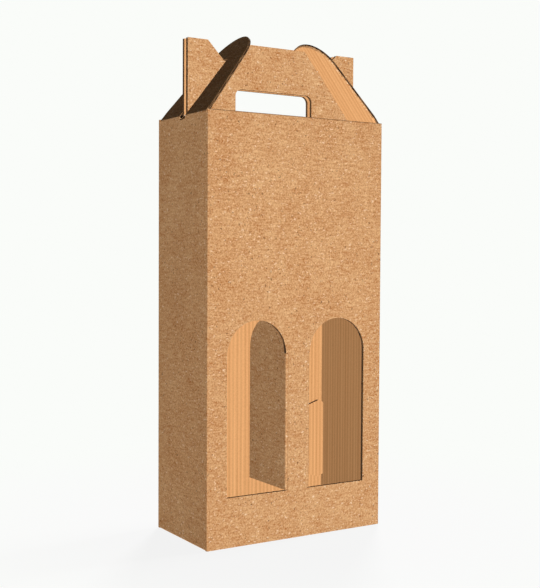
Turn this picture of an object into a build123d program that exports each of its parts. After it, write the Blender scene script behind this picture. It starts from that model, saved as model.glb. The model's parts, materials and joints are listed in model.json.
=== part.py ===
# Carrier box for two wine bottles, folded from one sheet of corrugated board.
# Millimetres, +Z up, the windowed front towards -Y, origin on the floor under the middle of the box.
import os
from math import cos, hypot, radians, sin

from build123d import *

os.makedirs("parts", exist_ok=True)

# Board
board = 3.0  # thickness
fold_radius = 1.0  # outside of a fold
crease_play = 0.2  # around the crease bead of a hinged flap
crease_relief = 0.6  # more room on the side that a hinged flap folds to
flap_play = 0.4  # beside the cut edge of a flap
overrun = 5.0  # how far a cutter passes the faces that it cuts

# Box, outside
box_width = 179.0
box_depth = 92.0
box_height = 366.0

# Handle, two boards side by side with an ear at each end
handle_rise = 65.0  # above the roof
handle_gap = 3.4  # between the boards
ear_inset = 2.5  # end of an ear inside the side of the box
ear_width = 19.5  # along the top edge
notch_reach = 35.8  # end of an ear to the outer corner of its notch
notch_depth = 16.7
hand_hole_width = 80.0
hand_hole_height = 24.2
hand_hole_radius = 6.0
hand_hole_rise = 1.2  # above the roof

# Lock flaps, one on each side, slotted over the ears
flap_lean = 38.6  # degrees in from upright
flap_length = 92.6
flap_shoulder = 9.0  # straight length next to the crease
flap_tip_radius = 32.6
slot_play = 0.6  # beside the handle boards
slot_reach_play = 0.8  # past the corner of an ear
slot_dip = 3.0  # below the crease

# Windows in the front and the flaps cut out of them
window_width = 58.5
window_bar = 24.6  # front left standing between the windows
window_sill = 42.3
window_straight = 119.4  # sill to the foot of the arch
arch_play = 0.7  # flap's arch smaller than the window's

# Floor, made of four glued flaps
side_flap_length = 44.0
side_flap_taper = 14.0
side_flap_gap = 1.5  # beside the front and back walls
ramp_lead = 1.0  # flat stretch before a side flap climbs onto the main flaps
ramp_length = 9.0
ramp_clearance = 1.0
hook_reach = 9.0  # each way from the middle of the floor
hook_lean = 6.0
hook_play = 0.4
hook_side_play = 0.7
main_corner = 14.0

# Glue tabs that join the right wall to the inside of the back wall
tab_width = 30.0
tab_length = 79.4
tab_taper = 9.8
tab_foot = 27.0

# Worked out from the sizes above
half_width = box_width / 2
half_depth = box_depth / 2
half_board = board / 2
inner_width = half_width - board
inner_depth = half_depth - board
roof_underside = box_height - board
handle_top = box_height + handle_rise
handle_inside = handle_gap / 2
handle_outside = handle_inside + board
seat_radius = half_board + crease_play

# Crease of a lock flap: an axis along Y, in the middle of the side wall's thickness
lock_x = half_width - half_board
lock_z = box_height - half_board
lean_sin = sin(radians(flap_lean))
lean_cos = cos(radians(flap_lean))

# Crease of a window flap: an axis along Z, in the middle of the front wall's thickness
window_edge = window_bar / 2
window_x = window_edge - half_board
window_y = -half_depth + half_board
window_radius = window_width / 2
window_middle = window_edge + window_radius
window_spring = window_sill + window_straight


# Where the inner face of a resting lock flap, with its play, crosses a height
def lock_face_x(height):
    face = half_board + flap_play
    along = (height - lock_z + face * lean_sin) / lean_cos
    return lock_x - along * lean_sin - face * lean_cos


# Plane of a lock flap: X runs up the flap from its crease, Z points out of the box
def lock_plane(side):
    return Plane(
        origin=(side * lock_x, 0, lock_z),
        x_dir=(-side * lean_sin, 0, lean_cos),
        z_dir=(side * lean_cos, 0, lean_sin),
    )


# Plane of a window flap: X runs back from its crease, Y up
def window_plane(side):
    return Plane(origin=(side * window_x, window_y, 0), x_dir=(0, 1, 0), z_dir=(1, 0, 0))


roof_half = lock_face_x(box_height)
ear_end = half_width - ear_inset
ear_corner = ear_end - ear_width
notch_floor = handle_top - notch_depth
slot_half = handle_outside + slot_play
slot_length = hypot(lock_x - ear_corner, handle_top - lock_z) + slot_reach_play
main_half = inner_width - ramp_lead - ramp_length - ramp_clearance

# The box: walls, roof, handle and floor in one folded sheet
with BuildPart() as carton_body:
    # Front sheet: wall, roof and handle board in one folded strip
    with BuildSketch(Plane.YZ) as front_section:
        with BuildLine():
            Polyline(
                (-half_depth, 0),
                (-half_depth, box_height),
                (-handle_outside, box_height),
                (-handle_outside, handle_top),
            )
            offset(amount=board, kind=Kind.INTERSECTION, side=Side.RIGHT)
        make_face()
        wall_folds = front_section.vertices().group_by(Axis.X)[0]
        handle_fold = front_section.vertices().group_by(Axis.X)[-1].sort_by(Axis.Y)[:1]
        fillet(wall_folds + handle_fold, fold_radius)
    extrude(amount=half_width, both=True)

    # Die-cut outline of the roof and the handle
    with BuildSketch(Plane.XZ) as handle_cuts:
        for side in (-1, 1):
            with BuildLine():
                Polyline(
                    (side * ear_corner, handle_top + overrun),
                    (side * ear_corner, handle_top),
                    (side * (ear_end - notch_reach), notch_floor),
                    (side * lock_face_x(notch_floor), notch_floor),
                    (side * lock_face_x(handle_top), handle_top),
                    (side * lock_face_x(handle_top), handle_top + overrun),
                    close=True,
                )
            make_face()
            with BuildLine():
                Polyline(
                    (side * roof_half, roof_underside - overrun),
                    (side * roof_half, box_height),
                    (side * ear_end, box_height),
                    (side * ear_end, handle_top + overrun),
                    (side * (half_width + overrun), handle_top + overrun),
                    (side * (half_width + overrun), roof_underside - overrun),
                    close=True,
                )
            make_face()
        with Locations((0, box_height + hand_hole_rise + hand_hole_height / 2)):
            RectangleRounded(hand_hole_width, hand_hole_height, hand_hole_radius)
    extrude(amount=inner_depth, mode=Mode.SUBTRACT)
    mirror(about=Plane.XZ)

    # Side sheets: a wall and a floor flap that climbs onto the main flaps
    with BuildSketch(Plane.XZ) as side_section:
        with BuildLine():
            Polyline(
                (-half_width + side_flap_length, board),
                (-inner_width + ramp_lead + ramp_length, board),
                (-inner_width + ramp_lead, 0),
                (-half_width, 0),
                (-half_width, lock_z),
            )
            offset(amount=board, kind=Kind.INTERSECTION, side=Side.RIGHT)
        make_face()
        fillet(side_section.vertices().group_by(Axis.X)[0].sort_by(Axis.Y)[:1], fold_radius)
    side_sheet = extrude(amount=inner_depth, both=True)
    mirror(side_sheet, about=Plane.YZ)

    for turn in (0, 180):
        # Tapered edges of a side flap
        with BuildSketch(Plane.XY.rotated((0, 0, turn))):
            for end in (-1, 1):
                with BuildLine():
                    Polyline(
                        (-inner_width, end * inner_depth),
                        (-inner_width, end * (inner_depth - side_flap_gap)),
                        (-half_width + side_flap_length, end * (inner_depth - side_flap_taper)),
                        (-half_width + side_flap_length, end * inner_depth),
                        close=True,
                    )
                make_face()
        extrude(amount=board + board, mode=Mode.SUBTRACT)

    for turn in (0, 180):
        # Main flap of the floor, hooked into the one across from it
        with BuildSketch(Plane.XY.rotated((0, 0, turn))):
            with BuildLine():
                Polyline(
                    (-main_half, -inner_depth),
                    (main_half, -inner_depth),
                    (main_half, -hook_reach - hook_play),
                    (-hook_lean - hook_side_play, -hook_reach - hook_play),
                    (hook_lean - hook_side_play, hook_reach - hook_play),
                    (-main_half + main_corner, hook_reach - hook_play),
                    (-main_half, hook_reach - hook_play - main_corner),
                    close=True,
                )
            make_face()
        extrude(amount=board)

    # Glue tabs, the upper one a mirror of the lower
    with BuildSketch(Plane.XZ.offset(-inner_depth)):
        for foot, rise in ((tab_foot, 1), (box_height - tab_foot, -1)):
            with BuildLine():
                Polyline(
                    (inner_width, foot),
                    (inner_width, foot + rise * tab_length),
                    (inner_width - tab_width, foot + rise * (tab_length - tab_taper)),
                    (inner_width - tab_width, foot + rise * tab_taper),
                    close=True,
                )
            make_face()
    extrude(amount=board)

    # Arched windows, and the crease seats along their inner edges
    with BuildSketch(Plane.XZ.offset(half_depth + overrun)):
        for side in (-1, 1):
            with Locations((side * window_middle, window_spring)):
                Circle(window_radius)
            with Locations((side * (window_x + window_edge + window_width) / 2, window_sill)):
                Rectangle(
                    window_edge + window_width - window_x,
                    window_straight,
                    align=(Align.CENTER, Align.MIN),
                )
    extrude(amount=-board - overrun - overrun, mode=Mode.SUBTRACT)
    for side in (-1, 1):
        with Locations((side * window_x, window_y, window_sill)):
            Cylinder(
                seat_radius,
                window_straight,
                align=(Align.CENTER, Align.CENTER, Align.MIN),
                mode=Mode.SUBTRACT,
            )
            Box(
                seat_radius + seat_radius + crease_relief + crease_relief,
                half_board + overrun,
                window_straight,
                align=(Align.CENTER, Align.MIN, Align.MIN),
                mode=Mode.SUBTRACT,
            )

    # Crease seats of the lock flaps, and the slots that run on below them
    for side in (-1, 1):
        with Locations((side * lock_x, 0, lock_z)):
            Cylinder(
                seat_radius,
                inner_depth + inner_depth,
                rotation=(90, 0, 0),
                mode=Mode.SUBTRACT,
            )
            Box(
                board + overrun,
                slot_half + slot_half,
                slot_dip + slot_dip,
                mode=Mode.SUBTRACT,
            )
        with Locations((side * lock_x + side * (half_board + overrun) / 2, 0, lock_z)):
            Box(
                half_board + overrun,
                inner_depth + inner_depth,
                seat_radius + seat_radius,
                mode=Mode.SUBTRACT,
            )

    # Upright folds at the four corners
    with BuildSketch():
        RectangleRounded(box_width, box_depth, fold_radius)
    extrude(amount=handle_top, mode=Mode.INTERSECT)
carton_body.part.label = "carton_body"
export_step(carton_body.part, "parts/carton_body.step")


# Lock flap: a tapered tongue with a round end, slotted from its crease for the handle's ear
def make_lock_flap(side, name):
    base_half = inner_depth - flap_play
    with BuildPart() as lock_flap:
        with BuildSketch(lock_plane(side)):
            with Locations((flap_shoulder / 2, 0)):
                Rectangle(flap_shoulder, base_half + base_half)
            with Locations((flap_length - flap_tip_radius, 0)):
                Circle(flap_tip_radius)
            make_hull()
        extrude(amount=half_board, both=True)
        with Locations((side * lock_x, 0, lock_z)):
            Cylinder(half_board, base_half + base_half, rotation=(90, 0, 0))
        with BuildSketch(lock_plane(side)):
            with Locations((-overrun, 0)):
                Rectangle(
                    slot_length + overrun,
                    slot_half + slot_half,
                    align=(Align.MIN, Align.CENTER),
                )
        extrude(amount=board, both=True, mode=Mode.SUBTRACT)
    lock_flap.part.label = name
    export_step(lock_flap.part, f"parts/{name}.step")


make_lock_flap(-1, "left_lock_flap")
make_lock_flap(1, "right_lock_flap")


# Window flap: the arch cut out of a window, folded back into the box as a divider
def make_window_flap(side, name):
    reach = window_edge + window_width - flap_play - window_x
    arch_radius = window_radius - arch_play
    foot = window_sill + flap_play
    straight = window_straight - flap_play - flap_play
    with BuildPart() as window_flap:
        with BuildSketch(window_plane(side)):
            with Locations((0, foot)):
                Rectangle(reach, straight, align=(Align.MIN, Align.MIN))
            with Locations((reach - arch_radius, window_spring - flap_play)):
                Circle(arch_radius)
        extrude(amount=half_board, both=True)
        with Locations((side * window_x, window_y, foot)):
            Cylinder(half_board, straight, align=(Align.CENTER, Align.CENTER, Align.MIN))
    window_flap.part.label = name
    export_step(window_flap.part, f"parts/{name}.step")


make_window_flap(-1, "left_window_flap")
make_window_flap(1, "right_window_flap")
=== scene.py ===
import json
import math

import bmesh
import bpy
from mathutils import Matrix, Vector

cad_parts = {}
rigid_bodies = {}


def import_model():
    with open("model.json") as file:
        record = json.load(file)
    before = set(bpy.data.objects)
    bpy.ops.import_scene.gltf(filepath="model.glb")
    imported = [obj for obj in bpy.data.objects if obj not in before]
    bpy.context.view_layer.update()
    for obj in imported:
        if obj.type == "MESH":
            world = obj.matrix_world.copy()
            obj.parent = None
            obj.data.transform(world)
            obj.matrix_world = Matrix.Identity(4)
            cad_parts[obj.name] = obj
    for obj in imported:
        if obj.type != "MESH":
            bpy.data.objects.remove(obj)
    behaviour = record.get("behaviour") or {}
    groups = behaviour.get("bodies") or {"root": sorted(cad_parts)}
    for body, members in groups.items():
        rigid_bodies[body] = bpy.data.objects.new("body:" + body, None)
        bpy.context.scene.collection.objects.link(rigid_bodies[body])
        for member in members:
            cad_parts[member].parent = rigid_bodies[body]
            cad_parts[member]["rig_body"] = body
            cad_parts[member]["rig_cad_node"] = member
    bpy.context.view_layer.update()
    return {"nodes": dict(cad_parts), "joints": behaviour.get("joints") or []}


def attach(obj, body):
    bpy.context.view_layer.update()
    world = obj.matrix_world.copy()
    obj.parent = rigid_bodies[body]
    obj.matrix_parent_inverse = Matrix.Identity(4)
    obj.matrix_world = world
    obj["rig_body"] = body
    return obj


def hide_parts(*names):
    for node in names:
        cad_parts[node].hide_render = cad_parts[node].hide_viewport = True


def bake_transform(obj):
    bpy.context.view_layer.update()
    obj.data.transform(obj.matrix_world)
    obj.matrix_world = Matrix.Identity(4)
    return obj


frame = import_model()
creases = {joint["name"]: Vector(joint["pos_m"]) for joint in frame["joints"]}
mm = 0.001
# slack in millimetres, when faces and points are found by their place
hair, slack, near = 0.05, 0.2, 0.3
# how much of a face's normal lies along a direction: at least, or at most
facing, leaning, edgeOn = 0.9, 0.5, 0.2
print("carton loaded,", len(frame["nodes"]), "boards")


def within(value, span):
    return span[0] < value < span[1]


def dropSelection():
    if bpy.context.object and bpy.context.object.mode != "OBJECT":
        bpy.ops.object.mode_set(mode="OBJECT")
    bpy.ops.object.select_all(action="DESELECT")


def takeUp(piece):
    dropSelection()
    piece.select_set(True)
    bpy.context.view_layer.objects.active = piece


def editMesh(piece):
    takeUp(piece)
    bpy.ops.object.mode_set(mode="EDIT")
    bpy.ops.mesh.select_mode(type="FACE")


def leaveEdit():
    bpy.ops.object.mode_set(mode="OBJECT")


def pickFaces(piece, test):
    # test sees a face's middle in millimetres and its normal
    bpy.ops.mesh.select_all(action="DESELECT")
    mesh = bmesh.from_edit_mesh(piece.data)
    found = 0
    for face in mesh.faces:
        if test(face.calc_center_median() / mm, face.normal):
            face.select_set(True)
            found += 1
    bmesh.update_edit_mesh(piece.data)
    return found


def pickPoints(piece, test):
    bpy.ops.mesh.select_mode(type="VERT")
    bpy.ops.mesh.select_all(action="DESELECT")
    mesh = bmesh.from_edit_mesh(piece.data)
    for point in mesh.verts:
        if test(point.co / mm):
            point.select_set(True)
    mesh.select_flush(True)
    bmesh.update_edit_mesh(piece.data)


def keepPoints(piece, test):
    # narrows a choice of faces down to some of their corners
    bpy.ops.mesh.select_mode(type="VERT")
    mesh = bmesh.from_edit_mesh(piece.data)
    for point in mesh.verts:
        if point.select and not test(point.co / mm):
            point.select_set(False)
    mesh.select_flush(False)
    bmesh.update_edit_mesh(piece.data)


def finishWith(piece, kind, **settings):
    takeUp(piece)
    step = piece.modifiers.new(kind.lower(), kind)
    for key, value in settings.items():
        setattr(step, key, value)
    bpy.ops.object.modifier_apply(modifier=step.name)


boardCopy = {"weld": 0.001 * mm, "flat": 0.5}      # points closer than weld are one; flat is in degrees


def copyBoard(nodeName, pieceName):
    # a board as the CAD cut it, with its triangles merged back into whole faces
    takeUp(frame["nodes"][nodeName])
    bpy.ops.object.duplicate()
    piece = bpy.context.object
    piece.name = piece.data.name = pieceName
    piece.parent = None
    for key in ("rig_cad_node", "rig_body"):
        if key in piece:
            del piece[key]
    piece.data.materials.clear()
    editMesh(piece)
    bpy.ops.mesh.select_all(action="SELECT")
    bpy.ops.mesh.remove_doubles(threshold=boardCopy["weld"])
    bpy.ops.mesh.dissolve_limited(angle_limit=math.radians(boardCopy["flat"]))
    leaveEdit()
    bpy.ops.mesh.customdata_custom_splitnormals_clear()
    return piece


def discard(piece):
    mesh = piece.data
    bpy.data.objects.remove(piece)
    bpy.data.meshes.remove(mesh)


def settle(piece, body):
    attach(piece, body)
    flatLit(piece)


def flatLit(piece):
    piece.visible_diffuse = False    # boards throw no brown light on each other, as in the photo


class Flow:
    # one socket; sums on it add their Math nodes
    def __init__(self, bench, socket):
        self.bench = bench
        self.socket = socket

    def maths(self, operation, *values):
        return self.bench.node("ShaderNodeMath", {"operation": operation}, dict(enumerate(values)))

    def __add__(self, other):
        return self.maths("ADD", self, other)

    def __radd__(self, other):
        return self.maths("ADD", other, self)

    def __sub__(self, other):
        return self.maths("SUBTRACT", self, other)

    def __rsub__(self, other):
        return self.maths("SUBTRACT", other, self)

    def __mul__(self, other):
        return self.maths("MULTIPLY", self, other)

    def __rmul__(self, other):
        return self.maths("MULTIPLY", other, self)

    def __truediv__(self, other):
        return self.maths("DIVIDE", self, other)

    def __rtruediv__(self, other):
        return self.maths("DIVIDE", other, self)

    def __abs__(self):
        return self.maths("ABSOLUTE", self)

    def sine(self):
        return self.maths("SINE", self)

    def least(self, other):
        return self.maths("MINIMUM", self, other)

    def most(self, other):
        return self.maths("MAXIMUM", self, other)

    def ease(self, low, high):
        # 0 below low, 1 above high
        return self.bench.node("ShaderNodeMapRange", {"interpolation_type": "SMOOTHSTEP"},
                               {"Value": self, "From Min": low, "From Max": high})


class Bench:
    # a material's node tree, or the world's
    def __init__(self, owner):
        owner.use_nodes = True
        self.tree = owner.node_tree
        self.tree.nodes.clear()

    def node(self, kind, settings=None, sockets=None, out=0):
        made = self.tree.nodes.new(kind)
        for key, value in (settings or {}).items():
            setattr(made, key, value)
        for key, value in (sockets or {}).items():
            if isinstance(value, Flow):
                self.tree.links.new(value.socket, made.inputs[key])
            elif made.inputs[key].type == "RGBA":
                made.inputs[key].default_value = (*value, 1)
            else:
                made.inputs[key].default_value = value
        return Flow(self, made.outputs[out])

    def mix(self, amount, first, second):
        return self.node("ShaderNodeMix", {"data_type": "RGBA"}, {0: amount, 6: first, 7: second}, out=2)

    def axes(self, vector):
        outputs = self.node("ShaderNodeSeparateXYZ", None, {0: vector}).socket.node.outputs
        return [Flow(self, outputs[i]) for i in range(3)]

    def place(self):
        return self.node("ShaderNodeTexCoord", out=3)    # Object

    def stretched(self, vector, scale, turn=(0.0, 0.0, 0.0)):
        return self.node("ShaderNodeMapping", None, {"Vector": vector, "Scale": scale, "Rotation": turn})

    def noise(self, vector, scale, detail=2.0, roughness=0.5):
        return self.node("ShaderNodeTexNoise", None,
                         {"Vector": vector, "Scale": scale, "Detail": detail, "Roughness": roughness})

    def bump(self, strength, distance, height):
        return self.node("ShaderNodeBump", None,
                         {"Strength": strength, "Distance": distance, "Height": height})

    def matt(self, colour, rough, normal, shine):
        return self.node("ShaderNodeBsdfPrincipled", None,
                         {"Base Color": colour, "Roughness": rough, "Normal": normal,
                          "Specular IOR Level": shine})

    def close(self, shader, kind="ShaderNodeOutputMaterial"):
        end = self.tree.nodes.new(kind)
        self.tree.links.new(shader.socket, end.inputs[0])


kraftPaper = {
    "pale": (0.895, 0.567, 0.288),
    "deep": (0.395, 0.113, 0.014),
    "fleck": (0.16, 0.068, 0.026),
    "straw": (0.99, 0.74, 0.50),
    "grain": 740.0,         # per metre
    "cloud": 30.0,
    "streakStretch": (0.14, 0.14, 1.0), "strawStretch": (0.6, 0.6, 1.1),
    "fleckGrainShare": 0.6, "strawGrainShare": 0.9,
    "shares": {"grain": 1.52, "streak": 0.6, "cloud": 0.3},
    "fleckSpan": (0.68, 0.78), "fleckShare": 0.75,
    "strawSpan": (0.64, 0.74), "strawShare": 0.65,
    "skew": (0.6, 0.4, 0.65),    # keeps every wall off the noise's own grid
    # how much painted shade darkens the folds
    "foldShadePainted": 0.14,
    "foldStart": (88.5 * mm, 45.0 * mm, 365.0 * mm),
    "foldRound": 1.0 * mm,
    "foldEnd": (2.5 * mm, 0.5 * mm),    # how far the top fold's shade runs up, and how softly it stops
    "foldGain": 2.0,
    "cornerShare": 0.25,
    "rough": 0.84, "roughSpan": 0.12,
    "relief": 0.12 * mm, "reliefStrength": 0.2, "reliefStreakShare": 0.5,
    "shine": 0.05,
}


def makeKraftPaper():
    look = kraftPaper
    paper = bpy.data.materials.new("kraftPaper")
    bench = Bench(paper)
    at = bench.place()
    skewed = bench.stretched(at, (1.0, 1.0, 1.0), look["skew"])
    level = (0.0, 0.0, look["skew"][2])
    grain = bench.noise(skewed, look["grain"], 2.0, 0.6)
    streak = bench.noise(bench.stretched(at, look["streakStretch"], level), look["grain"], 1.0, 0.5)
    cloud = bench.noise(at, look["cloud"], 2.0, 0.5)
    share = look["shares"]
    shade = ((grain - 0.5) * share["grain"] + (streak - 0.5) * share["streak"]
             + (cloud - 0.5) * share["cloud"] + 0.5)
    colour = bench.mix(shade, look["deep"], look["pale"])
    fleck = bench.noise(skewed, look["grain"] * look["fleckGrainShare"], 1.0, 0.4)
    colour = bench.mix(fleck.ease(*look["fleckSpan"]) * look["fleckShare"], colour, look["fleck"])
    drawn = bench.stretched(at, look["strawStretch"], level)
    straw = bench.noise(drawn, look["grain"] * look["strawGrainShare"], 1.0, 0.4)
    colour = bench.mix(straw.ease(*look["strawSpan"]) * look["strawShare"], colour, look["straw"])
    # painted shade along the folds: the paper is darkened along the top fold and, less, down the upright
    # corners
    x, y, z = bench.axes(at)
    startX, startY, startZ = look["foldStart"]
    sideways = ((abs(x) - startX) / look["foldRound"]).most(0.0)
    forward = ((abs(y) - startY) / look["foldRound"]).most(0.0)
    reach, fade = look["foldEnd"]
    upward = ((z - startZ) / look["foldRound"]).most(0.0) * (startZ + reach - z).ease(0.0, fade)
    topFoldShade = (forward * upward * look["foldGain"]).least(1.0)
    cornerFoldShade = (forward * sideways * look["foldGain"]).least(1.0)
    fold = (topFoldShade + cornerFoldShade * look["cornerShare"]).least(1.0)
    # the painted fold shade pulls the colour toward the fleck colour
    colour = bench.mix(fold * look["foldShadePainted"], colour, look["fleck"])
    rough = grain * look["roughSpan"] + (look["rough"] - look["roughSpan"] / 2)
    relief = bench.bump(look["reliefStrength"], look["relief"], grain + streak * look["reliefStreakShare"])
    bench.close(bench.matt(colour, rough, relief, look["shine"]))
    return paper


linerPaper = {
    "pale": (0.942, 0.499, 0.214),
    "deep": (0.627, 0.280, 0.100),
    "pitch": 4.2 * mm,      # one flute
    "grain": 900.0,
    "swayStretch": (190.0, 2.0, 1.0), "threadStretch": (620.0, 6.0, 1.0),
    "swayTurn": 3.0,        # how far the stripes wander, in radians
    "shares": {"ridge": 0.19, "thread": 0.9, "grain": 0.75, "sway": 0.4},
    "rough": 0.8, "roughSpan": 0.1,
    "relief": 0.1 * mm, "reliefStrength": 0.2, "reliefShares": {"ridge": 0.6, "thread": 0.5},
    "shine": 0.05,
}


def makeLinerPaper():
    # the flutes show through the inside paper as faint stripes
    look = linerPaper
    paper = bpy.data.materials.new("linerPaper")
    bench = Bench(paper)
    cut = bench.node("ShaderNodeUVMap", {"uv_map": "fluteMap"})
    across = bench.axes(cut)[0]
    turn = 2 * math.pi / look["pitch"]
    sway = bench.noise(bench.stretched(cut, look["swayStretch"]), 1.0, 2.0, 0.5) - 0.5
    ridge = (across * turn + sway * look["swayTurn"]).sine()
    thread = bench.noise(bench.stretched(cut, look["threadStretch"]), 1.0, 2.0, 0.6) - 0.5
    grain = bench.noise(bench.place(), look["grain"], 2.0, 0.6) - 0.5
    share = look["shares"]
    shade = (ridge * share["ridge"] + thread * share["thread"]
             + grain * share["grain"] + sway * share["sway"] + 0.5)
    colour = bench.mix(shade, look["deep"], look["pale"])
    raised = look["reliefShares"]
    height = ridge * raised["ridge"] + thread * raised["thread"]
    relief = bench.bump(look["reliefStrength"], look["relief"], height)
    bench.close(bench.matt(colour, grain * look["roughSpan"] + look["rough"], relief, look["shine"]))
    return paper


rawEdge = {"name": "rawEdge", "pale": (0.44, 0.235, 0.10), "deep": (0.17, 0.082, 0.034), "grain": 1400.0}
# painted shade: the let-in middle of the cut edges and the crease groove are painted near black
edgeHollowShade = {"name": "edgeHollowShade", "pale": (0.050, 0.024, 0.011), "deep": (0.018, 0.009, 0.005),
              "grain": 900.0}
# painted shade: the flute sheets show only inside the cut edges' hollows, so they are painted near black
fluteMediumShade = {"name": "fluteMediumShade", "pale": (0.12, 0.060, 0.027), "deep": (0.06, 0.029, 0.013),
               "grain": 900.0}
tornPaper = {
    "patchGrainShare": 0.15, "fibreShare": 0.7, "patchShare": 0.5, "drop": 0.1, "span": (0.2, 0.8),
    "rough": 0.85, "roughSpan": 0.1, "relief": 0.2 * mm, "reliefStrength": 0.4, "shine": 0.15,
}


def makeTornPaper(look):
    paper = bpy.data.materials.new(look["name"])
    bench = Bench(paper)
    at = bench.place()
    fibre = bench.noise(at, look["grain"], 3.0, 0.65)
    patch = bench.noise(at, look["grain"] * tornPaper["patchGrainShare"], 2.0, 0.5)
    shade = fibre * tornPaper["fibreShare"] + patch * tornPaper["patchShare"] - tornPaper["drop"]
    colour = bench.mix(shade.ease(*tornPaper["span"]), look["deep"], look["pale"])
    rough = fibre * tornPaper["roughSpan"] + tornPaper["rough"]
    relief = bench.bump(tornPaper["reliefStrength"], tornPaper["relief"], fibre)
    bench.close(bench.matt(colour, rough, relief, tornPaper["shine"]))
    return paper


kraft, liner = makeKraftPaper(), makeLinerPaper()
raw, hollowShadePaper, shadedMedium = (makeTornPaper(look) for look in (rawEdge, edgeHollowShade, fluteMediumShade))
papers = [kraft, liner, raw, hollowShadePaper]
kraftSlot, linerSlot, rawSlot, paintedShadeSlot = range(4)
print("papers mixed")


cutEdge = {"liner": 0.28 * mm, "depth": 4.5 * mm, "taper": 0.02 * mm}


def layFlutes(piece, swapped=lambda c: False):
    # u runs across the flutes and v along them, in metres
    layer = piece.data.uv_layers.new(name="fluteMap")
    for face in piece.data.polygons:
        side = max(range(3), key=lambda i: abs(face.normal[i]))
        first, second = ((1, 2), (0, 2), (0, 1))[side]
        if swapped(face.center / mm):
            first, second = second, first
        for corner in face.loop_indices:
            point = piece.data.vertices[piece.data.loops[corner].vertex_index].co
            layer.data[corner].uv = (point[first], point[second])


def paperFaces(piece, tests):
    # outer paper all over, then the faces that each test finds
    for paper in papers:
        piece.data.materials.append(paper)
    editMesh(piece)
    for slot, test in {kraftSlot: lambda c, n: True, **tests}.items():
        pickFaces(piece, test)
        piece.active_material_index = slot
        bpy.ops.object.material_slot_assign()
    leaveEdit()


def openEdges(piece, isCut):
    # the two papers stand proud and the middle is let in, for the flutes to show
    editMesh(piece)
    found = pickFaces(piece, isCut)
    bpy.ops.mesh.inset(thickness=cutEdge["liner"], depth=0, use_even_offset=True)
    # the let-in middle is painted near black as shade
    piece.active_material_index = paintedShadeSlot
    bpy.ops.object.material_slot_assign()
    bpy.ops.mesh.inset(thickness=cutEdge["taper"], depth=-cutEdge["depth"], use_even_offset=True)
    leaveEdit()
    return found


def softShade(piece, angle=24):
    takeUp(piece)
    bpy.ops.object.shade_smooth_by_angle(angle=math.radians(angle))


flute = {"pitch": 4.2 * mm, "height": 2.1 * mm, "paper": 0.3 * mm, "steps": 10,
         "weld": 0.01 * mm, "smooth": 50}


def fluteSheet(across, along):
    # one wave drawn as a strip, then repeated; waves run along X, flutes along Y
    dropSelection()
    steps, pitch = flute["steps"], flute["pitch"]
    bpy.ops.mesh.primitive_grid_add(x_subdivisions=steps, y_subdivisions=1, size=1)
    piece = bpy.context.object
    editMesh(piece)
    bpy.ops.mesh.select_all(action="SELECT")
    bpy.ops.transform.resize(value=(pitch, along, 1))
    for i in range(steps + 1):
        column = (i / steps - 0.5) * pitch / mm
        lift = flute["height"] / 2 * math.cos(2 * math.pi * i / steps)
        pickPoints(piece, lambda p: abs(p.x - column) < hair)
        bpy.ops.transform.translate(value=(0, 0, lift))
    leaveEdit()
    count = math.ceil(across / pitch)
    finishWith(piece, "ARRAY", count=count, use_relative_offset=False, use_constant_offset=True,
               constant_offset_displace=(pitch, 0, 0), use_merge_vertices=True, merge_threshold=flute["weld"])
    editMesh(piece)
    bpy.ops.mesh.select_all(action="SELECT")
    bpy.ops.transform.translate(value=(-(count - 1) * pitch / 2, 0, 0))
    leaveEdit()
    finishWith(piece, "SOLIDIFY", thickness=flute["paper"], offset=0)
    return piece


def standSheet(piece, middle, acrossDir, alongDir):
    # turns the flat sheet into its board and fixes its place in the mesh
    x, y = Vector(acrossDir).normalized(), Vector(alongDir).normalized()
    turn = Matrix((x, y, x.cross(y))).transposed().to_4x4()
    piece.matrix_world = Matrix.Translation(Vector(middle) * mm) @ turn
    takeUp(piece)
    bpy.ops.object.transform_apply(location=True, rotation=True, scale=True)


def fillBoard(name, nodeName, sheets, body, trim=lambda board: None):
    made = []
    for middle, acrossDir, alongDir, across, along in sheets:
        sheet = fluteSheet(across * mm, along * mm)
        standSheet(sheet, middle, acrossDir, alongDir)
        made.append(sheet)
    takeUp(made[0])
    for sheet in made[1:]:
        sheet.select_set(True)
    if len(made) > 1:
        bpy.ops.object.join()
    core = bpy.context.object
    core.name = core.data.name = name
    # the flutes' near-black paper is painted shade
    core.data.materials.append(shadedMedium)
    cutter = copyBoard(nodeName, name + "Trim")
    trim(cutter)
    cutter.data.materials.append(raw)     # the cut ends of the flutes take the raw paper
    finishWith(core, "BOOLEAN", operation="INTERSECT", solver="EXACT",
               material_mode="TRANSFER", object=cutter)
    discard(cutter)
    softShade(core, flute["smooth"])
    settle(core, body)
    return core


carton = {
    "innerX": 86.5, "innerY": 43.0, "wallTop": 366.0, "board": 3.0,
    "handleInside": 1.8,    # faces nearer the middle look into the gap between the handle boards
    "seat": {"x": 89.45, "z": 362.6},
    "window": {"x": (11.9, 71.5), "y": (-46, -43), "z": (41.0, 192.0)},
    "roofEnd": 84.4, "roofCut": (362.9, 366.1),
    "floorTop": 2.9, "sideFloor": (2.9, 6.5),
    "sideFloorEnd": 45.6,   # where the side flaps of the floor stop
    "floorCut": {"x": 86.2, "y": 42.8, "z": (0.2, 5.9)},
    "earFoot": 367.5, "earDrop": 1.35,
    "middle": Vector((0, 0, 180)),
}


def cartonInside(c, n):
    roofUnder = carton["wallTop"] - carton["board"]
    if abs(c.y) < carton["handleInside"] and c.z > roofUnder:
        return True
    return (abs(c.x) < carton["innerX"] + slack and abs(c.y) < carton["innerY"] + slack
            and carton["floorTop"] < c.z < roofUnder + slack and n.dot(carton["middle"] - c) > 0)


glueTab = {
    "cut": (40.05, 42.95),
    "faces": {"x": 56.6, "y": (39.9, 42.9), "z": (26, 340)},
    "foldY": (39.9, 43.1),
    "ends": (27.0, 106.4, 259.6, 339.0),
    "reliefWide": 5.5, "reliefDeep": 4.5,
}


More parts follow.
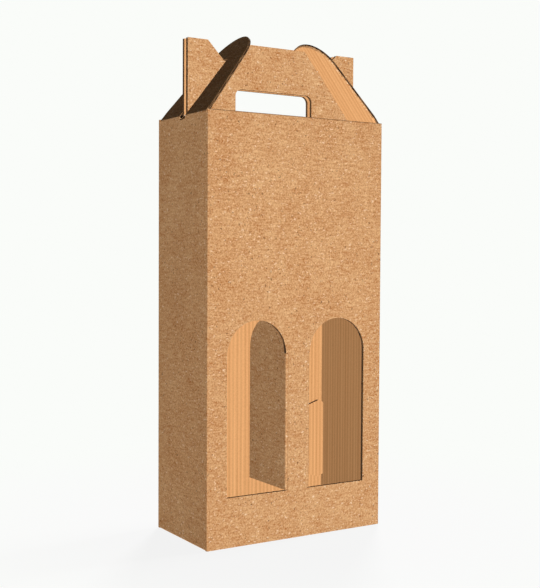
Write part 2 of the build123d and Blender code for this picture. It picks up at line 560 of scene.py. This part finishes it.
def cartonCut(c, n):
    level = abs(n.y) < edgeOn
    window, floor = carton["window"], carton["floorCut"]
    if level and c.z > carton["wallTop"] + slack:
        return True                                                     # handle boards and hand hole
    if level and within(c.y, window["y"]) and within(abs(c.x), window["x"]) and within(c.z, window["z"]):
        return True                                                     # windows
    if abs(n.x) > facing and abs(abs(c.x) - carton["roofEnd"]) < near and within(c.z, carton["roofCut"]):
        return True                                                     # roof ends
    if level and within(c.y, glueTab["cut"]) and c.x < carton["innerX"] - 2 * hair:
        return True                                                     # glue tabs
    return abs(n.z) < edgeOn and within(c.z, floor["z"]) and abs(c.y) < floor["y"] and abs(c.x) < floor["x"]


# faces in the groove and slots at the lock flaps' creases, painted dark as shade
def creaseSeatShade(c, n):
    seat = carton["seat"]
    return (carton["innerX"] + hair < abs(c.x) < seat["x"] and c.z > seat["z"]
            and abs(c.y) < carton["innerY"] + 2 * hair)


def dropEars(board):
    # the ears come down to the roof, as cut card does; the CAD leaves room for the stiff flaps there
    editMesh(board)
    pickFaces(board, lambda c, n: n.z < -facing and abs(c.x) > carton["roofEnd"]
              and abs(c.z - carton["earFoot"]) < near)
    bpy.ops.transform.translate(value=(0, 0, -carton["earDrop"] * mm))
    leaveEdit()


def relieveTabs(board):
    # each tab is cut back a little where it meets its fold
    fold, faces = carton["innerX"], glueTab["faces"]
    editMesh(board)
    pickFaces(board, lambda c, n: faces["x"] < c.x < fold - 2 * hair and within(c.y, faces["y"])
              and within(c.z, faces["z"]) and n.x > -facing)
    bpy.ops.mesh.bisect(plane_co=((fold - glueTab["reliefWide"]) * mm, 0, 0), plane_no=(1, 0, 0))
    for i, end in enumerate(glueTab["ends"]):
        pickPoints(board, lambda p: abs(p.x - fold) < hair and within(p.y, glueTab["foldY"])
                   and abs(p.z - end) < hair)
        bpy.ops.transform.translate(value=(0, 0, (1, -1)[i % 2] * glueTab["reliefDeep"] * mm))
    leaveEdit()


def trimCarton(board):
    dropEars(board)
    relieveTabs(board)


shell = copyBoard("carton_body", "cartonShell")
trimCarton(shell)
paperFaces(shell, {linerSlot: cartonInside, rawSlot: cartonCut, paintedShadeSlot: creaseSeatShade})
layFlutes(shell, lambda c: within(c.z, carton["sideFloor"]) and abs(c.x) > carton["sideFloorEnd"])
print("carton edges opened:", openEdges(shell, cartonCut))
softShade(shell)
settle(shell, "box")

# middle, across the flutes, along them, and the two sizes of each sheet
fillBoard("cartonFlutes", "carton_body", [
    ((0, -44.5, 117), (1, 0, 0), (0, 0, 1), 156, 166),      # front wall round the windows
    ((0, -3.2, 399.5), (1, 0, 0), (0, 0, 1), 174, 66),      # handle boards
    ((0, 3.2, 399.5), (1, 0, 0), (0, 0, 1), 174, 66),
    ((0, -24, 364.5), (1, 0, 0), (0, 1, 0), 170, 36),       # roof panels
    ((0, 24, 364.5), (1, 0, 0), (0, 1, 0), 170, 36),
    ((0, 0, 1.5), (1, 0, 0), (0, 1, 0), 151, 80),           # floor flaps
    ((61, 0, 4.5), (0, 1, 0), (1, 0, 0), 80, 31),
    ((-61, 0, 4.5), (0, 1, 0), (1, 0, 0), 80, 31),
    ((70, 41.5, 66.7), (1, 0, 0), (0, 0, 1), 30, 82),       # glue tabs
    ((70, 41.5, 299.3), (1, 0, 0), (0, 0, 1), 30, 82),
], "box", trimCarton)
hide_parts("carton_body")
print("carton dressed")


lockFlap = {
    "lean": 38.6, "length": 92.6, "baseHalf": 42.6,
    "slotHalf": 5.3, "slotEnd": 70.4, "slotShown": 65.2, "slotMiddle": 1,
    "bead": 2.2,            # faces nearer the crease belong to its bead
    "innerFace": -1.4, "crushFrom": 3, "crushDeep": 1.0, "crushWide": 1.15,
    "rimBeside": 6.3, "rimPast": 70.2,      # the outline's cut edge, without the slot's
    "fluteLift": 1, "fluteShift": 0.35, "fluteWide": 88, "fluteShort": 3,
}
creaseLiner = {"proud": 0.06, "paper": 0.25, "lap": 4.5, "tuck": 0.02, "bends": 5}


def creaseStrip(name, side, crease, rise, outward, ends):
    # the outer paper runs on from the wall over the crease to the flap
    half, lap, proud = carton["board"] / 2, creaseLiner["lap"], creaseLiner["proud"]
    wide = ends[1] - ends[0]
    dropSelection()
    bpy.ops.mesh.primitive_plane_add(size=1)
    piece = bpy.context.object
    piece.name = piece.data.name = name
    editMesh(piece)
    bpy.ops.mesh.select_all(action="SELECT")
    bpy.ops.transform.resize(value=(lap * mm, wide * mm, 1))
    leaveEdit()
    middle = crease / mm + Vector((side * (half + proud), sum(ends) / 2, -lap / 2))
    standSheet(piece, middle, (0, 0, 1), (0, -side, 0))
    editMesh(piece)
    pickPoints(piece, lambda p: p.z > crease.z / mm - 2 * hair)
    bpy.ops.mesh.spin(steps=creaseLiner["bends"], angle=side * math.radians(lockFlap["lean"]),
                      center=crease, axis=(0, 1, 0))
    bpy.ops.mesh.extrude_region_move(TRANSFORM_OT_translate={"value": rise * lap * mm})
    # both laps run out flush with the board under them
    bpy.ops.transform.translate(value=outward * -(proud + creaseLiner["tuck"]) * mm)
    pickPoints(piece, lambda p: p.z < crease.z / mm - lap + 2 * hair)
    bpy.ops.transform.translate(value=(-side * (proud + creaseLiner["tuck"]) * mm, 0, 0))
    leaveEdit()
    finishWith(piece, "SOLIDIFY", thickness=creaseLiner["paper"] * mm, offset=-1)
    piece.data.materials.append(kraft)
    softShade(piece)
    flatLit(piece)
    return piece


for side, label in ((-1, "left"), (1, "right")):
    lean = math.radians(lockFlap["lean"])
    rise = Vector((-side * math.sin(lean), 0, math.cos(lean)))
    outward = Vector((side * math.cos(lean), 0, math.sin(lean)))
    crease = creases[label + "_lock_crease"]

    def upFlap(place):
        return (place - crease / mm).dot(rise)

    def outOfFlap(place):
        return (place - crease / mm).dot(outward)

    def flapInside(c, n):
        return n.dot(outward) < -facing

    def flapCut(c, n):
        inCrease = n.dot(rise) < -facing and upFlap(c) < lockFlap["bead"]
        return abs(n.dot(outward)) < edgeOn and not inCrease

    def flapRim(c, n):
        return flapCut(c, n) and (abs(c.y) > lockFlap["rimBeside"] or upFlap(c) > lockFlap["rimPast"])

    def shortenSlot(board):
        # card gives where the ear snaps through, so the slot shown stops at the notch
        editMesh(board)
        pickFaces(board, lambda c, n: abs(c.y) < lockFlap["slotMiddle"] and n.dot(rise) < -facing
                  and upFlap(c) > lockFlap["slotShown"])
        bpy.ops.transform.translate(value=rise * (lockFlap["slotShown"] - lockFlap["slotEnd"]) * mm)
        leaveEdit()

    def crushRim(board):
        # the die crushes the inner corner of the outline, so the cut edge is thinner than the board
        editMesh(board)
        pickFaces(board, lambda c, n: flapInside(c, n) and upFlap(c) > lockFlap["crushFrom"])
        bpy.ops.mesh.inset(thickness=lockFlap["crushWide"] * mm, depth=0, use_even_offset=True)
        pickFaces(board, flapRim)
        keepPoints(board, lambda p: outOfFlap(p) < lockFlap["innerFace"]
                   and upFlap(p) > lockFlap["crushFrom"])
        bpy.ops.transform.translate(value=outward * lockFlap["crushDeep"] * mm)
        leaveEdit()

    def trimFlap(board):
        shortenSlot(board)
        crushRim(board)

    flap = copyBoard(label + "_lock_flap", label + "LockFlap")
    trimFlap(flap)
    paperFaces(flap, {linerSlot: flapInside, rawSlot: flapCut})
    layFlutes(flap)
    openEdges(flap, flapCut)
    softShade(flap)
    settle(flap, label + "_lock")
    # a little off the middle, so that no wave meets a corner of the outline
    middle = crease / mm + rise * (lockFlap["length"] / 2 + lockFlap["fluteLift"])
    middle += Vector((0, lockFlap["fluteShift"], 0))
    wide, tall = lockFlap["fluteWide"], lockFlap["length"] - lockFlap["fluteShort"]
    fillBoard(label + "LockFlutes", label + "_lock_flap",
              [(middle, (0, 1, 0), rise, wide, tall)], label + "_lock", trimFlap)
    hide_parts(label + "_lock_flap")
    for end, where in ((-1, "Front"), (1, "Back")):
        ends = sorted((end * lockFlap["slotHalf"], end * lockFlap["baseHalf"]))
        strip = creaseStrip(label + "Crease" + where, side, crease, rise, outward, ends)
        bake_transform(strip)
print("lock flaps dressed")


windowFlap = {"reach": 59.6, "foot": 42.7, "top": 191.0, "bead": 2.2,
              "fluteLift": 1, "fluteShort": 2, "fluteTall": 2}

for side, label in ((-1, "left"), (1, "right")):
    hinge = creases[label + "_divider_crease"] / mm

    def flapInside(c, n):
        return n.x * side < -leaning

    def flapCut(c, n):
        return abs(n.x) < edgeOn and math.hypot(c.x - hinge.x, c.y - hinge.y) > windowFlap["bead"]

    flap = copyBoard(label + "_window_flap", label + "WindowFlap")
    paperFaces(flap, {linerSlot: flapInside, rawSlot: flapCut})
    layFlutes(flap)
    openEdges(flap, flapCut)
    softShade(flap)
    settle(flap, label + "_divider")
    reach, foot, top = (windowFlap[k] for k in ("reach", "foot", "top"))
    middle = (hinge.x, hinge.y + reach / 2 + windowFlap["fluteLift"], (foot + top) / 2)
    wide, tall = reach - windowFlap["fluteShort"], top - foot + windowFlap["fluteTall"]
    fillBoard(label + "WindowFlutes", label + "_window_flap",
              [(middle, (0, 1, 0), (0, 0, 1), wide, tall)], label + "_divider")
    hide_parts(label + "_window_flap")
print("window flaps dressed")


studio = {
    "white": (0.956, 0.973, 0.947),
    "floorPale": (0.90, 0.90, 0.89),    # as seen
    "floorGlow": (0.975, 0.975, 0.972),
    "floorDim": (0.13, 0.13, 0.13),     # as light comes off it
    "floorSize": 40, "floorCuts": 3,
    "floorFade": (0.10, 0.45),          # metres from the middle
    "floorGap": 0.1 * mm,
    "shadowShare": 0.10,
    "ambient": 0.040,
    "lampAway": 2,
    # strength on a face turned to the lamp, 1 is a plain level; the front lamp throws no shadow
    "front": {"az": -23.5, "el": -43.4, "soft": 12.0, "level": 1.39, "shadow": False},
    "back": {"az": 140.0, "el": 30.0, "soft": 14.0, "level": 1.0, "shadow": True},
    "side": {"az": 90.0, "el": 46.0, "soft": 14.0, "level": 0.45, "shadow": True},
}


def whiteRay(bench):
    # rays that should see the plain white sweep
    paths = bench.node("ShaderNodeLightPath").socket.node.outputs
    seen = Flow(bench, paths["Is Camera Ray"])
    for name in ("Is Glossy Ray", "Is Transmission Ray"):
        seen = seen.most(Flow(bench, paths[name]))
    return seen


def layFloor():
    dropSelection()
    bpy.ops.mesh.primitive_plane_add(size=1)
    floor = bpy.context.object
    floor.name = floor.data.name = "studioFloor"
    editMesh(floor)
    bpy.ops.mesh.select_all(action="SELECT")
    bpy.ops.transform.resize(value=(studio["floorSize"], studio["floorSize"], 1))
    bpy.ops.transform.translate(value=(0, 0, -studio["floorGap"]))
    bpy.ops.mesh.subdivide(number_cuts=studio["floorCuts"])
    leaveEdit()
    paint = bpy.data.materials.new("studioWhite")
    bench = Bench(paint)
    seen = whiteRay(bench)
    away = bench.node("ShaderNodeVectorMath", {"operation": "LENGTH"}, {0: bench.place()}, out=1)
    tint = bench.mix(seen, studio["floorDim"], studio["floorPale"])
    matt = bench.node("ShaderNodeBsdfDiffuse", None, {"Color": tint})
    far = away.ease(*studio["floorFade"])
    glowTint = bench.mix(far, studio["floorGlow"], studio["white"])
    glow = bench.node("ShaderNodeEmission", None, {"Color": glowTint, "Strength": 1.0})
    share = far * studio["shadowShare"] + (1 - studio["shadowShare"])
    pale = bench.node("ShaderNodeMixShader", None, {0: seen * share, 1: matt, 2: glow})
    under = bench.node("ShaderNodeNewGeometry", out=6)      # Backfacing: the floor is open from below
    clear = bench.node("ShaderNodeBsdfTransparent")
    bench.close(bench.node("ShaderNodeMixShader", None, {0: under, 1: pale, 2: clear}))
    floor.data.materials.append(paint)
    floor.visible_shadow = False


def hangLamp(name):
    spec = studio[name]
    az, el = math.radians(spec["az"]), math.radians(spec["el"])
    away = Vector((math.sin(az) * math.cos(el), -math.cos(az) * math.cos(el), math.sin(el)))
    dropSelection()
    bpy.ops.object.light_add(type="SUN", location=away * studio["lampAway"])
    lamp = bpy.context.object
    lamp.name = name + "Lamp"
    lamp.rotation_euler = away.to_track_quat("Z", "Y").to_euler()
    lamp.data.angle = math.radians(spec["soft"])
    lamp.data.energy = spec["level"] * math.pi
    lamp.data.use_shadow = spec["shadow"]


def fillRoom():
    world = bpy.data.worlds.new("studioRoom")
    bpy.context.scene.world = world
    bench = Bench(world)
    seen = whiteRay(bench)
    colour = bench.mix(seen, (1.0, 1.0, 1.0), studio["white"])
    strength = seen * (1 - studio["ambient"]) + studio["ambient"]
    bench.close(bench.node("ShaderNodeBackground", None, {"Color": colour, "Strength": strength}),
                "ShaderNodeOutputWorld")


photoCamera = {"place": (-0.50288, -0.80886, 0.24742), "az": 31.84, "el": -2.185, "roll": 0.305,
               "focal": 1054.2, "longSide": 588,    # in the photo's pixels
               "sensor": 36.0}


def setCamera():
    spec = photoCamera
    az, el, roll = (math.radians(spec[k]) for k in ("az", "el", "roll"))
    ahead = Vector((math.sin(az) * math.cos(el), math.cos(az) * math.cos(el), math.sin(el)))
    right = Vector((math.cos(az), -math.sin(az), 0))
    up = right.cross(ahead)
    x = right * math.cos(roll) + up * math.sin(roll)
    y = up * math.cos(roll) - right * math.sin(roll)
    dropSelection()
    bpy.ops.object.camera_add()
    camera = bpy.context.object
    camera.name = "photoCamera"
    camera.data.sensor_width = spec["sensor"]
    camera.data.lens = spec["sensor"] * spec["focal"] / spec["longSide"]
    turn = Matrix((x, y, -ahead)).transposed().to_4x4()
    camera.matrix_world = Matrix.Translation(spec["place"]) @ turn
    bpy.context.scene.camera = camera


layFloor()
for lampName in ("front", "back", "side"):
    hangLamp(lampName)
fillRoom()
setCamera()
bpy.context.scene.view_settings.view_transform = "Standard"
print("studio set")

dropSelection()
